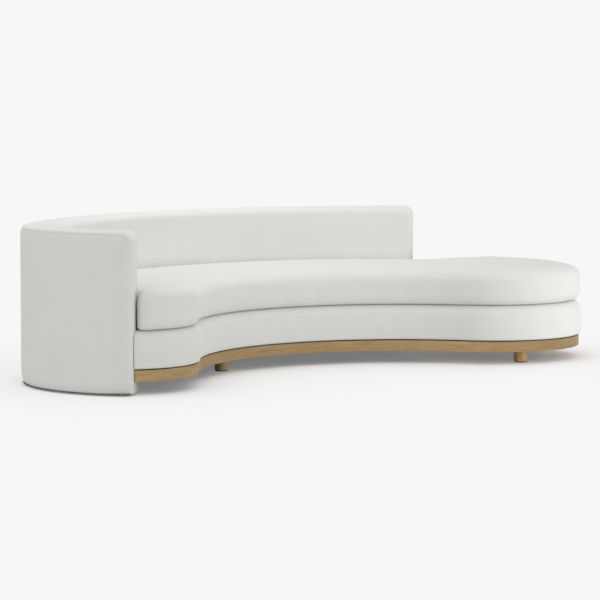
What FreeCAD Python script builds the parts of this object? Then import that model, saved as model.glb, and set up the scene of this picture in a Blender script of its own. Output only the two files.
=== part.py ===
import FreeCAD, Part
import math
import os

from FreeCAD import Vector

# A curved chaise sofa in millimetres, +Z up, its front towards -Y.
# The plan is a kidney drawn with tangent arcs. An upholstered wall wraps the left end and most of the
# back and stands on the floor. A padded seat base on an oak plinth and short round feet carries one
# loose bench cushion with a crowned top.
# Plan angles are in degrees, clockwise from the rear (+Y), and the modelling origin is the centre of
# the concave front. The last step moves every piece so that the origin is under the middle of the sofa.

SIZES = [
    ("back_radius", 1720, "outer face of the back"),
    ("seat_depth", 620, "from the wall's inner face to the concave front"),
    ("arm_radius", 580, "outer face of the arm"),
    ("lobe_radius", 350, "convex front beside the arm"),
    ("chaise_radius", 436, "round end of the chaise"),
    ("arm_angle", 47, "where the back turns into the arm, left of the rear"),
    ("lobe_angle", 56.4, "centre of the convex front beside the arm, left of the rear"),
    ("chaise_angle", 54.3, "centre of the round end, right of the rear"),
    ("back_end_lap", 30, "of the back past the start of the waist behind the chaise"),
    ("waist_radius", 80, "concave turn of the seat behind the end of the back"),
    ("seat_gap", 3, "between the seat's upholstery and the wall"),
    ("contact_gap", 0.3, "between pieces that bear on each other"),
    ("shell_thickness", 190, "upholstered wall"),
    ("shell_height", 700, "top of the wall above the floor"),
    ("shell_corner", 40, "rounded upper corner at both ends of the wall"),
    ("shell_outer_edge", 16, "rolled edge of the wall's outer face"),
    ("shell_inner_edge", 26, "soft edge of the wall's inner face"),
    ("outer_padding", 20, "over the outer bent panel"),
    ("inner_padding", 45, "over the inner bent panel"),
    ("top_padding", 35, "over the top rail"),
    ("end_padding", 36, "over the ends of the frame"),
    ("panel_thickness", 6, "bent plywood panels"),
    ("rail_thickness", 22, "plywood rails inside the wall"),
    ("bolt_rail_height", 60, "rail behind the inner panel that takes the bolts"),
    ("rib_thickness", 18, "uprights between the rails"),
    ("back_rib_count", 7, "uprights along the back"),
    ("arm_rib_count", 4, "uprights round the arm"),
    ("lining_thickness", 1, "black lining under the wall and the base"),
    ("lining_inset", 8, "from the edge of the wall to its lining"),
    ("shell_glide_height", 8, "glides under the wall"),
    ("shell_glide_diameter", 40, "glides under the wall"),
    ("back_glide_count", 4, "glides along the back"),
    ("arm_glide_count", 3, "glides round the arm"),
    ("foot_height", 58, "underside of the plinth above the floor"),
    ("foot_diameter", 64, "turned oak foot"),
    ("foot_edge", 2, "eased edges of a foot"),
    ("foot_setback", 112, "from the seat's outline to the axis of a foot"),
    ("front_foot_angle", 19.5, "foot under the front, left of the rear"),
    ("chaise_front_foot_angle", 192, "foot under the round end, about its centre"),
    ("chaise_side_foot_angle", 60, "foot under the round end, about its centre"),
    ("chaise_rear_foot_angle", 355, "foot under the round end, about its centre"),
    ("foot_glide_height", 4, "dark glide under a foot"),
    ("foot_glide_diameter", 58, "dark glide under a foot"),
    ("bolt_diameter", 8, "hanger bolts and frame bolts"),
    ("bolt_clearance", 0.2, "round a bolt in its hole"),
    ("foot_bolt_depth", 36, "of a hanger bolt in its foot"),
    ("washer_diameter", 22, "under the head of a frame bolt"),
    ("washer_thickness", 2, "under the head of a frame bolt"),
    ("bolt_head_diameter", 14, "frame bolt"),
    ("bolt_head_height", 6, "frame bolt"),
    ("frame_bolt_count", 5, "bolts from the base into the wall"),
    ("frame_bolt_step", 17, "degrees between frame bolts"),
    ("band_height", 50, "oak plinth band"),
    ("band_thickness", 18, "oak plinth band"),
    ("band_inset", 8, "from the upholstery to the band"),
    ("board_thickness", 22, "boards inside the plinth that take the feet"),
    ("board_width", 110, "board under the front"),
    ("plate_width", 170, "ring plate inside the round end"),
    ("reveal_height", 5, "dark shadow line above the band"),
    ("reveal_inset", 18, "from the upholstery to the shadow line"),
    ("reveal_width", 34, "dark spacer that makes the shadow line"),
    ("base_height", 164, "padded border of the base"),
    ("border_padding", 20, "over the front rim"),
    ("border_flange", 60, "of the border, over the top of the rim"),
    ("border_edge", 40, "rounded upper edge of the border"),
    ("rim_thickness", 25, "bent rim of the base"),
    ("deck_thickness", 18, "padded deck under the cushion"),
    ("strap_thickness", 2, "elastic webbing"),
    ("strap_width", 60, "elastic webbing"),
    ("strap_count", 9, "straps across the seat"),
    ("strap_step", 9.5, "degrees between straps"),
    ("cross_rail_height", 100, "rails between the rims"),
    ("cross_rail_count", 4, "rails between the rims"),
    ("cross_rail_step", 24, "degrees between cross rails"),
    ("cushion_gap", 4, "between the cushion and the wall"),
    ("cushion_height", 164, "at the edge of the cushion"),
    ("cushion_crown", 14, "rise of the cushion's top"),
    ("crown_margin", 20, "flat run between the bullnose and the crown"),
    ("cushion_ear_radius", 63, "end of the cushion beside the arm"),
    ("cushion_ear_run", 12, "straight run of the cushion along the end of the arm"),
    ("cushion_top_spare", 7, "ear's radius beyond the bullnose along the top"),
    ("cushion_bottom_spare", 17, "ear's radius beyond the drawn-in lower edge"),
    ("core_inset", 48, "from the cushion's outline to its foam core"),
    ("core_cover", 46, "fibre and cover above and below the foam core"),
]

doc = FreeCAD.newDocument("chaise_sofa")
sheet = doc.addObject("Spreadsheet::Sheet", "sizes")
for row, (name, value, note) in enumerate(SIZES, start=1):
    sheet.set("A%d" % row, name)
    sheet.set("B%d" % row, str(value))
    sheet.set("C%d" % row, note)
    sheet.setAlias("B%d" % row, name)
doc.recompute()


UP = Vector(0, 0, 1)
ON_CURVE = 0.01
AT_LEVEL = 1


def size(name):
    return float(sheet.get(name))


def toward(angle):
    """Unit vector in plan, clockwise from the rear."""
    return Vector(math.sin(math.radians(angle)), math.cos(math.radians(angle)), 0)


def bearing(vector):
    """Plan angle of a vector, clockwise from the rear."""
    return math.degrees(math.atan2(vector.x, vector.y))


def at_height(point, height):
    return Vector(point.x, point.y, height)


def unwind(angle, start, turn):
    """The same bearing, moved by whole turns so that it lies past start in the given turning sense."""
    while (angle - start) * turn < 0:
        angle += 360 * turn
    while (angle - start) * turn >= 360:
        angle -= 360 * turn
    return angle


# Heights above the floor, each from the one below it.
PLINTH_TOP = size("foot_height") + size("band_height")
BASE_BOTTOM = PLINTH_TOP + size("reveal_height")
BASE_TOP = BASE_BOTTOM + size("base_height")
DECK_BOTTOM = BASE_TOP - size("deck_thickness")
RIM_TOP = DECK_BOTTOM - size("strap_thickness")
CUSHION_BOTTOM = BASE_TOP + size("contact_gap")
CUSHION_EDGE_TOP = CUSHION_BOTTOM + size("cushion_height")
SHELL_BOTTOM = size("shell_glide_height") + size("lining_thickness")
CORE_TOP = size("shell_height") - size("top_padding")
FRAME_BOLT_Z = (BASE_BOTTOM + RIM_TOP) / 2

# Centres of the plan's arcs. The arm's arc touches the back's from inside. The front lobe and the round
# end touch the concave front.
BACK_R = size("back_radius")
WALL = size("shell_thickness")
FRONT_R = BACK_R - WALL - size("seat_depth")
ARM_R = size("arm_radius")
LOBE_R = size("lobe_radius")
CHAISE_R = size("chaise_radius")
ARM_ANGLE = -size("arm_angle")
LOBE_ANGLE = -size("lobe_angle")
CHAISE_ANGLE = size("chaise_angle")

FRONT_C = Vector(0, 0, 0)
ARM_C = toward(ARM_ANGLE) * (BACK_R - ARM_R)
LOBE_C = toward(LOBE_ANGLE) * (FRONT_R + LOBE_R)
CHAISE_C = toward(CHAISE_ANGLE) * (FRONT_R + CHAISE_R)
QUARTER = 90


def angle_in_triangle(near_a, near_b, opposite):
    """Angle between two sides of a triangle, from its three sides."""
    cosine = (near_a ** 2 + near_b ** 2 - opposite ** 2) / (2 * near_a * near_b)
    return math.degrees(math.acos(cosine))


def waist_angle(gap):
    """Bearing of the concave turn that touches the round end and the arc in front of the back."""
    waist = size("waist_radius")
    return CHAISE_ANGLE - angle_in_triangle(
        BACK_R - WALL - gap + waist, FRONT_R + CHAISE_R, CHAISE_R + waist)


WAIST_ANGLE = waist_angle(size("seat_gap"))
BACK_END = WAIST_ANGLE + math.degrees(size("back_end_lap") / (BACK_R - WALL))


def corner_reach():
    """Where the rounded inner edge of the arm's end meets its flat cut, from the arm's centre."""
    edge = size("shell_inner_edge")
    return math.sqrt((ARM_R - WALL + edge) ** 2 - edge ** 2)


def ear_radius(end_angle):
    """Radius of the cushion's ear that touches the front lobe and runs straight along the arm's end."""
    along = (LOBE_C - ARM_C).dot(toward(end_angle))
    across = size("cushion_gap") - (LOBE_C - ARM_C).dot(toward(end_angle - QUARTER))
    reach = corner_reach() + size("cushion_ear_run") - along
    return (LOBE_R - across - reach ** 2 / (LOBE_R + across)) / 2


def find_arm_end():
    """The arm is cut where the cushion's ear gets its radius: the more the arm wraps, the smaller the ear."""
    short = ARM_ANGLE - QUARTER / 2
    long = short - 2 * QUARTER
    while short - long > ON_CURVE:
        middle = (short + long) / 2
        if ear_radius(middle) > size("cushion_ear_radius"):
            short = middle
        else:
            long = middle
    return short


# The wall's front end is a flat cut along a radius of the arm. END_OUT runs outwards along the cut and
# END_FACE points away from the wall, into the seat.
ARM_END = find_arm_end()
END_OUT = toward(ARM_END)
END_FACE = toward(ARM_END - QUARTER)


def arc(centre, radius, start, end):
    middle = centre + toward((start + end) / 2) * radius
    return Part.Arc(centre + toward(start) * radius, middle, centre + toward(end) * radius).toShape()


def line(start, end):
    return Part.makeLine(start, end)


def ear_centre(gap, radius):
    """Centre of the rounding between the cut end of the arm and the front lobe."""
    along = (LOBE_C - ARM_C).dot(END_OUT)
    across = gap + radius - (LOBE_C - ARM_C).dot(END_FACE)
    reach = along + math.sqrt((LOBE_R - radius) ** 2 - across ** 2)
    return ARM_C + END_OUT * reach + END_FACE * (gap + radius)


def seat_chain(inset, gap, ear):
    """Arcs of the seat's outline, drawn inset from its edge and a gap away from the wall.

    The chain starts beside the arm and runs along the front, round the chaise and back inside the wall.
    Every arc keeps its centre, so an inset only changes radii: convex arcs shrink and concave ones grow.
    """
    inner_back = BACK_R - WALL - gap
    inner_arm = ARM_R - WALL - gap
    waist = size("waist_radius")
    turn = waist_angle(gap)
    waist_c = toward(turn) * (inner_back + waist)
    corner = size("shell_inner_edge")
    corner_c = ARM_C + END_OUT * corner_reach() - END_FACE * corner
    ear_c = ear_centre(gap, ear)

    ear_start = bearing(END_FACE * -1)
    ear_end = unwind(bearing(ear_c - LOBE_C), ear_start, -1)
    lobe_end = unwind(LOBE_ANGLE - 2 * QUARTER, ear_end, -1)
    chaise_start = CHAISE_ANGLE + 2 * QUARTER
    chaise_end = unwind(bearing(waist_c - CHAISE_C), chaise_start, -1)
    chaise_middle = (chaise_start + chaise_end) / 2
    waist_start = bearing(CHAISE_C - waist_c)
    waist_end = unwind(turn + 2 * QUARTER, waist_start, 1)
    arm_end = unwind(bearing(corner_c - ARM_C), ARM_ANGLE, -1)
    corner_start = bearing(ARM_C - corner_c)
    corner_end = unwind(bearing(END_FACE), corner_start, 1)
    return {
        "ear": (ear_c, ear - inset, ear_start, ear_end),
        "lobe": (LOBE_C, LOBE_R - inset, ear_end, lobe_end),
        "front": (FRONT_C, FRONT_R + inset, LOBE_ANGLE, CHAISE_ANGLE),
        "chaise_front": (CHAISE_C, CHAISE_R - inset, chaise_start, chaise_middle),
        "chaise_rear": (CHAISE_C, CHAISE_R - inset, chaise_middle, chaise_end),
        "waist": (waist_c, waist + inset, waist_start, waist_end),
        "back": (FRONT_C, inner_back - inset, turn, ARM_ANGLE),
        "arm": (ARM_C, inner_arm - inset, ARM_ANGLE, arm_end),
        "corner": (corner_c, corner + gap + inset, corner_start, corner_end),
    }


SEAT_FRONT = ["lobe", "front", "chaise_front", "chaise_rear", "waist"]
SEAT_REAR = ["back", "arm", "corner"]


def seat_face(inset, gap, ear):
    """The whole seat outline as a face: the chain, closed by the straight run along the arm's end."""
    edges = [arc(*values) for values in seat_chain(inset, gap, ear).values()]
    edges.append(line(edges[-1].lastVertex().Point, edges[0].firstVertex().Point))
    return Part.Face(Part.Wire(edges))


def strip_chain(inset, gap, ear):
    """The seat's chain for strips, with the rear part starting clear of where the front part ends."""
    chain = seat_chain(inset, gap, ear)
    centre, radius, _, end = chain["back"]
    clear = math.degrees(size("contact_gap") / radius)
    chain["back"] = (centre, radius, WAIST_ANGLE - clear, end)
    return chain


def seat_band(names, outer_inset, inner_inset, gap, ear):
    """A strip that follows part of the seat's outline between two insets."""
    outer_chain = strip_chain(outer_inset, gap, ear)
    inner_chain = strip_chain(inner_inset, gap, ear)
    outer = [arc(*outer_chain[name]) for name in names]
    inner = [arc(c, r, end, start) for c, r, start, end in (inner_chain[name] for name in reversed(names))]
    across_end = line(outer[-1].lastVertex().Point, inner[0].firstVertex().Point)
    across_start = line(inner[-1].lastVertex().Point, outer[0].firstVertex().Point)
    return Part.Face(Part.Wire(outer + [across_end] + inner + [across_start]))


def shell_face(outer_inset, inner_inset, end_inset):
    """The wall's footprint, inset from its outer face, its inner face and both ends."""
    back_end = BACK_END - math.degrees(end_inset / (BACK_R - WALL / 2))
    arm_end = ARM_END + math.degrees(end_inset / (ARM_R - WALL / 2))
    outer_back = arc(FRONT_C, BACK_R - outer_inset, back_end, ARM_ANGLE)
    outer_arm = arc(ARM_C, ARM_R - outer_inset, ARM_ANGLE, arm_end)
    inner_arm = arc(ARM_C, ARM_R - WALL + inner_inset, arm_end, ARM_ANGLE)
    inner_back = arc(FRONT_C, BACK_R - WALL + inner_inset, ARM_ANGLE, back_end)
    front_end = line(outer_arm.lastVertex().Point, inner_arm.firstVertex().Point)
    rear_end = line(inner_back.lastVertex().Point, outer_back.firstVertex().Point)
    return Part.Face(Part.Wire([outer_back, outer_arm, front_end, inner_arm, inner_back, rear_end]))


def prism(face, bottom, top):
    face = face.copy()
    face.translate(Vector(0, 0, bottom))
    return face.extrude(Vector(0, 0, top - bottom))


NODES = []


def add_shape(label, shape):
    """A node whose form comes from the plan's arcs."""
    node = doc.addObject("Part::Feature", label)
    node.Label = label
    node.Shape = shape
    NODES.append(node)
    return node


def edges_between(shape, test):
    return [edge for edge in shape.Edges if test(edge)]


def rod(base, direction, radius, length):
    return Part.makeCylinder(radius, length, base, direction)


def wall_clear(shape):
    """Cut a piece of the seat back to the gap in front of the arm's end."""
    keep_out = prism(shell_face(0, -size("seat_gap"), -size("seat_gap")), 0, size("shell_height"))
    return shape.cut(keep_out)


# Frame bolts run outwards through the rear rim into the rail behind the wall's inner panel.
RIM = size("rim_thickness")
REAR_RIM_R = BACK_R - WALL - size("contact_gap") - RIM
BOLT_R = size("bolt_diameter") / 2
BOLT_HOLE_R = BOLT_R + size("bolt_clearance")
BOLT_END_R = (BACK_R - WALL + size("inner_padding") + size("panel_thickness")
              + size("contact_gap") + size("rail_thickness"))


def frame_bolt_angles():
    first = (BACK_END + ARM_ANGLE) / 2 - size("frame_bolt_step") * (size("frame_bolt_count") - 1) / 2
    return [first + size("frame_bolt_step") * index for index in range(int(size("frame_bolt_count")))]


def frame_bolt_holes():
    start = REAR_RIM_R - size("washer_thickness")
    return Part.makeCompound([
        rod(at_height(toward(angle) * start, FRAME_BOLT_Z), toward(angle), BOLT_HOLE_R, BOLT_END_R - start)
        for angle in frame_bolt_angles()])


def cut_frame_bolts(shape):
    return shape.cut(frame_bolt_holes())


# Wall: padded upholstery over a frame of bent panels, rails and uprights, open at the bottom.
CORE_OUT = size("outer_padding")
CORE_IN = size("inner_padding")
CORE_END = size("end_padding")
PANEL = size("panel_thickness")
FIT = size("contact_gap")


def build_shell_upholstery():
    top = size("shell_height")
    solid = prism(shell_face(0, 0, 0), SHELL_BOTTOM, top)
    top_edges = edges_between(solid, lambda e: e.BoundBox.ZMin > top - AT_LEVEL)
    end_edges = [edge for edge in top_edges if edge.Curve.TypeId == "Part::GeomLine"]
    solid = solid.makeFillet(size("shell_corner"), end_edges)

    def on_face(edge, inset):
        """True for an edge of the wall's outer or inner face, apart from the joint between its arcs."""
        for point in edge.discretize(5):
            from_back = math.hypot(point.x, point.y) - (BACK_R - inset)
            from_arm = math.hypot(point.x - ARM_C.x, point.y - ARM_C.y) - (ARM_R - inset)
            if min(abs(from_back), abs(from_arm)) > ON_CURVE:
                return False
        upright = edge.BoundBox.ZLength > AT_LEVEL
        return not (upright and abs(bearing(edge.CenterOfMass) - ARM_ANGLE) < ON_CURVE)

    inner = edges_between(solid, lambda e: on_face(e, WALL) and e.BoundBox.ZMax > SHELL_BOTTOM + AT_LEVEL)
    solid = solid.makeFillet(size("shell_inner_edge"), inner)
    solid = solid.makeFillet(size("shell_outer_edge"), edges_between(solid, lambda e: on_face(e, 0)))
    cavity = prism(shell_face(CORE_OUT - FIT, CORE_IN - FIT, CORE_END - FIT), SHELL_BOTTOM, CORE_TOP + FIT)
    return cut_frame_bolts(solid.cut(cavity))


def shell_rail(bottom, thickness):
    face = shell_face(CORE_OUT + PANEL + FIT, CORE_IN + PANEL + FIT, CORE_END)
    return prism(face, bottom, bottom + thickness)


def bolt_rail(room):
    """The rail behind the inner panel, grown by some room where other pieces are notched round it."""
    far = WALL - CORE_IN - PANEL - FIT - size("rail_thickness")
    half = size("bolt_rail_height") / 2
    face = shell_face(far - room, CORE_IN + PANEL + FIT - room, CORE_END)
    return prism(face, FRAME_BOLT_Z - half - room, FRAME_BOLT_Z + half + room)


def spread(first, last, count):
    step = (last - first) / (count - 1)
    return [first + step * index for index in range(count)]


def shell_stations(back_count, arm_count, end_room):
    """Evenly spaced places along the wall as (centre, middle radius, angle)."""
    back_room = math.degrees(end_room / (BACK_R - WALL / 2))
    arm_room = math.degrees(end_room / (ARM_R - WALL / 2))
    back = spread(BACK_END - back_room, ARM_ANGLE, back_count)
    arm_step = (ARM_END + arm_room - ARM_ANGLE) / arm_count
    arm = [ARM_ANGLE + arm_step * (index + 1) for index in range(arm_count)]
    middle = (CORE_IN + WALL - CORE_OUT) / 2 - WALL
    return ([(FRONT_C, BACK_R + middle, angle) for angle in back]
            + [(ARM_C, ARM_R + middle, angle) for angle in arm])


def build_shell_frame():
    bottom = SHELL_BOTTOM
    outer = shell_face(CORE_OUT, WALL - CORE_OUT - PANEL, CORE_END)
    inner = shell_face(WALL - CORE_IN - PANEL, CORE_IN, CORE_END)
    add_shape("shell_outer_panel", prism(outer, bottom, CORE_TOP))
    add_shape("shell_inner_panel", cut_frame_bolts(prism(inner, bottom, CORE_TOP)))
    rail = size("rail_thickness")
    add_shape("shell_bottom_rail", shell_rail(bottom, rail))
    add_shape("shell_bolt_rail", cut_frame_bolts(bolt_rail(0)))
    add_shape("shell_top_rail", shell_rail(CORE_TOP - rail, rail))
    depth = WALL - CORE_OUT - CORE_IN - 2 * PANEL - 4 * FIT
    width = size("rib_thickness")
    height = CORE_TOP - bottom - 2 * rail
    notch = bolt_rail(FIT)
    ribs = []
    for centre, radius, angle in shell_stations(
            int(size("back_rib_count")), int(size("arm_rib_count")), CORE_END + width):
        rib = Part.makeBox(width, depth, height, Vector(-width / 2, -depth / 2, bottom + rail))
        rib.rotate(Vector(0, 0, 0), UP, -angle)
        rib.translate(centre + toward(angle) * radius)
        ribs.append(rib.cut(notch))
    add_shape("shell_ribs", Part.makeCompound(ribs))


def build_shell_lining():
    inset = size("lining_inset")
    face = shell_face(inset, inset, inset)
    add_shape("shell_lining", prism(face, size("shell_glide_height"), SHELL_BOTTOM))


def revolved_body(label, profile, centre, bottom):
    """A turned piece: a profile of (radius, height) corners, each corner named by its sizes."""
    body = doc.addObject("PartDesign::Body", label)
    body.Label = label
    plane = [item for item in body.Origin.OriginFeatures if item.Role == "XZ_Plane"][0]
    sketch = body.newObject("Sketcher::SketchObject", label + "_profile")
    sketch.AttachmentSupport = (plane, "")
    sketch.MapMode = "FlatFace"
    points = [Vector(radius, height, 0) for radius, height in profile]
    for start, end in zip(points, points[1:] + points[:1]):
        sketch.addGeometry(Part.LineSegment(start, end), False)
    turned = body.newObject("PartDesign::Revolution", label + "_turned")
    turned.Profile = sketch
    turned.ReferenceAxis = (sketch, ["V_Axis"])
    turned.Angle = 360
    doc.recompute()
    body.Placement = FreeCAD.Placement(at_height(centre, bottom), FreeCAD.Rotation())
    NODES.append(body)
    return body


def glide(centre, radius, height):
    """A moulded glide: a low disc with a bevelled foot."""
    bevel = height / 4
    foot = Part.makeCone(radius - bevel, radius, bevel, at_height(centre, 0))
    return foot.fuse(Part.makeCylinder(radius, height - bevel, at_height(centre, bevel))).removeSplitter()


def build_shell_glides():
    height = size("shell_glide_height")
    radius = size("shell_glide_diameter") / 2
    stations = shell_stations(int(size("back_glide_count")), int(size("arm_glide_count")), 2 * CORE_END)
    glides = [glide(centre + toward(angle) * middle, radius, height) for centre, middle, angle in stations]
    add_shape("shell_glides", Part.makeCompound(glides))


# Plinth: an oak band along the visible edge, a plain rail behind, boards for the feet, a dark spacer.
GAP = size("seat_gap")
SQUARE_EAR = size("contact_gap")
BAND_OUT = size("band_inset")
BAND_IN = BAND_OUT + size("band_thickness")
BOARD_TOP = size("foot_height") + size("board_thickness")
FRONT_FOOT_ANGLE = -size("front_foot_angle")


def foot_places():
    places = {"front": toward(FRONT_FOOT_ANGLE) * (FRONT_R + size("foot_setback"))}
    for name in ("chaise_front", "chaise_side", "chaise_rear"):
        angle = size(name + "_foot_angle")
        places[name] = CHAISE_C + toward(angle) * (CHAISE_R - size("foot_setback"))
    return places


def foot_bolt_holes(radius):
    bottom = size("foot_height") - size("foot_bolt_depth")
    return Part.makeCompound([
        rod(at_height(place, bottom), UP, radius, BOARD_TOP - bottom)
        for place in foot_places().values()])


def build_plinth():
    band = prism(seat_band(SEAT_FRONT, BAND_OUT, BAND_IN, GAP, SQUARE_EAR), size("foot_height"), PLINTH_TOP)
    add_shape("plinth_band", wall_clear(band))
    rear = seat_band(SEAT_REAR, BAND_OUT, BAND_IN, GAP, SQUARE_EAR)
    add_shape("plinth_rear_rail", prism(rear, size("foot_height"), BASE_BOTTOM))
    reveal_out = size("reveal_inset")
    reveal_in = reveal_out + size("reveal_width")
    spacer = seat_band(SEAT_FRONT, reveal_out, reveal_in, GAP, SQUARE_EAR)
    add_shape("shadow_spacer", wall_clear(prism(spacer, PLINTH_TOP, BASE_BOTTOM)))

    width = size("board_width")
    start = FRONT_R + BAND_IN + FIT
    length = math.sqrt((BACK_R - WALL - GAP - BAND_IN) ** 2 - (width / 2) ** 2) - FIT - start
    board = Part.makeBox(width, length, size("board_thickness"), Vector(-width / 2, start, size("foot_height")))
    board.rotate(Vector(0, 0, 0), UP, -FRONT_FOOT_ANGLE)
    add_shape("front_foot_board", board.cut(foot_bolt_holes(BOLT_HOLE_R)))

    outer = CHAISE_R - BAND_IN - FIT
    plate = Part.makeCylinder(outer, size("board_thickness"), at_height(CHAISE_C, size("foot_height")))
    opening = Part.makeCylinder(outer - size("plate_width"), size("board_thickness"),
                                at_height(CHAISE_C, size("foot_height")))
    add_shape("chaise_foot_plate", plate.cut(opening).cut(foot_bolt_holes(BOLT_HOLE_R)))


def build_feet():
    radius = size("foot_diameter") / 2
    bottom = size("foot_glide_height")
    height = size("foot_height") - bottom
    edge = size("foot_edge")
    socket = height - size("foot_bolt_depth")
    for name, place in foot_places().items():
        foot = [(0, 0), (radius - edge, 0), (radius, edge), (radius, height - edge), (radius - edge, height),
                (BOLT_HOLE_R, height), (BOLT_HOLE_R, socket), (0, socket)]
        revolved_body("foot_" + name, foot, place, bottom)
    glide_radius = size("foot_glide_diameter") / 2
    glides = [glide(place, glide_radius, bottom) for place in foot_places().values()]
    add_shape("foot_glides", Part.makeCompound(glides))
    add_shape("foot_bolts", foot_bolt_holes(BOLT_R))


# Seat base: bent rims and cross rails, webbing, a padded deck and a padded border.
def build_seat_frame():
    border = size("border_padding")
    front = seat_band(SEAT_FRONT, border + FIT, border + FIT + RIM, GAP, SQUARE_EAR)
    add_shape("seat_front_rim", wall_clear(prism(front, BASE_BOTTOM, RIM_TOP)))
    rear = seat_band(SEAT_REAR, 0, RIM, FIT, SQUARE_EAR)
    add_shape("seat_rear_rim", cut_frame_bolts(prism(rear, BASE_BOTTOM, RIM_TOP)))

    thickness = RIM
    start = FRONT_R + border + RIM + 2 * FIT
    length = REAR_RIM_R - FIT - start
    count = int(size("cross_rail_count"))
    step = size("cross_rail_step")
    first = (BACK_END + ARM_ANGLE) / 2 - step * (count - 1) / 2
    lengths = {"cross_rail_%d" % (index + 1): (first + step * index, length) for index in range(count)}
    lengths["cross_rail_chaise"] = (CHAISE_ANGLE, 2 * CHAISE_R - 2 * (border + RIM) - 4 * FIT)
    for label, (angle, reach) in lengths.items():
        rail = doc.addObject("Part::Box", label)
        rail.Label = label
        rail.setExpression("Length", "sizes.rim_thickness")
        rail.setExpression("Height", "sizes.cross_rail_height")
        rail.Width = reach
        turn = FreeCAD.Rotation(UP, -angle)
        rail.Placement = FreeCAD.Placement(turn.multVec(Vector(-thickness / 2, start, BASE_BOTTOM)), turn)
        NODES.append(rail)


def build_webbing():
    width = size("strap_width")
    start = FRONT_R + size("border_padding") + 2 * FIT
    length = BACK_R - WALL - 2 * FIT - start
    count = int(size("strap_count"))
    first = (BACK_END + ARM_ANGLE) / 2 - size("strap_step") * (count - 1) / 2
    straps = []
    for index in range(count):
        strap = Part.makeBox(width, length - FIT, size("strap_thickness"), Vector(-width / 2, start, RIM_TOP))
        strap.rotate(Vector(0, 0, 0), UP, -(first + size("strap_step") * index))
        straps.append(strap)
    add_shape("seat_webbing", Part.makeCompound(straps))


def build_base_padding():
    wall = size("border_padding")
    flange = size("border_flange")
    solid = prism(seat_band(SEAT_FRONT, 0, flange, GAP, SQUARE_EAR), BASE_BOTTOM, BASE_TOP)
    chain = seat_chain(0, GAP, SQUARE_EAR)

    def on_outline(edge):
        if edge.BoundBox.ZMin < BASE_TOP - AT_LEVEL:
            return False
        middle = edge.discretize(3)[1]
        return any(abs((at_height(middle, 0) - centre).Length - radius) < ON_CURVE and edge.Length > flange
                   for centre, radius, _, _ in (chain[name] for name in SEAT_FRONT))

    solid = solid.makeFillet(size("border_edge"), edges_between(solid, on_outline))
    hollow = seat_band(SEAT_FRONT, wall, flange + wall, GAP, SQUARE_EAR)
    border = wall_clear(solid.cut(prism(hollow, BASE_BOTTOM, DECK_BOTTOM)))
    add_shape("base_border", border)
    taken = prism(seat_band(SEAT_FRONT, -wall, flange + FIT, GAP, SQUARE_EAR), DECK_BOTTOM, BASE_TOP)
    deck = wall_clear(prism(seat_face(0, GAP, SQUARE_EAR), DECK_BOTTOM, BASE_TOP).cut(taken))
    add_shape("seat_deck", max(deck.Solids, key=lambda piece: piece.Volume))
    lining_edge = size("reveal_inset") + size("reveal_width") + FIT
    lining = seat_face(lining_edge, GAP, lining_edge + size("lining_inset"))
    add_shape("base_lining", prism(lining, BASE_BOTTOM - size("lining_thickness"), BASE_BOTTOM))


def build_frame_bolts():
    washers = []
    bolts = []
    face = REAR_RIM_R - FIT
    washer_r = size("washer_diameter") / 2
    head_r = size("bolt_head_diameter") / 2
    washer_t = size("washer_thickness")
    head_h = size("bolt_head_height")
    for angle in frame_bolt_angles():
        out = toward(angle)
        seat = at_height(out * (face - washer_t), FRAME_BOLT_Z)
        washer = rod(seat, out, washer_r, washer_t)
        washers.append(washer.cut(rod(seat, out, BOLT_HOLE_R, washer_t)))
        head = rod(seat - out * head_h, out, head_r, head_h)
        bolts.append(head.fuse(rod(seat, out, BOLT_R, BOLT_END_R - face + washer_t)))
    add_shape("frame_washers", Part.makeCompound(washers))
    add_shape("frame_bolts", Part.makeCompound(bolts))


# Cushion: a kidney bench cushion with a bullnose edge and a crowned top, round a foam core.
CROWN_ROOT = 1.5


def crown_curve(half_width):
    """Reach of the crown's arc, taken a little below the flat edge so that the pieces join."""
    rise = size("cushion_crown")
    radius = (half_width ** 2 + rise ** 2) / (2 * rise)
    depth = rise + CROWN_ROOT
    return math.sqrt(depth * (2 * radius - depth))


def crown_ring(middle, half_width):
    """The crown over the curved bench: an arc across the seat, turned about the front's centre."""
    reach = crown_curve(half_width)
    low = CUSHION_EDGE_TOP - CROWN_ROOT
    outward = toward(CHAISE_ANGLE)
    near = at_height(outward * (middle - reach), low)
    far = at_height(outward * (middle + reach), low)
    peak = at_height(outward * middle, CUSHION_EDGE_TOP + size("cushion_crown"))
    face = Part.Face(Part.Wire([Part.Arc(near, peak, far).toShape(), line(far, near)]))
    return face.revolve(FRONT_C, UP, CHAISE_ANGLE - ARM_ANGLE)


def crown_cap(centre, half_width):
    """The crown over a rounded end: a shallow spherical cap."""
    reach = crown_curve(half_width)
    rise = size("cushion_crown")
    radius = (half_width ** 2 + rise ** 2) / (2 * rise)
    low = at_height(centre, CUSHION_EDGE_TOP - CROWN_ROOT)
    ball = Part.makeSphere(radius, at_height(centre, CUSHION_EDGE_TOP + rise - radius))
    return ball.common(Part.makeCylinder(reach + rise, 2 * rise, low))


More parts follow.
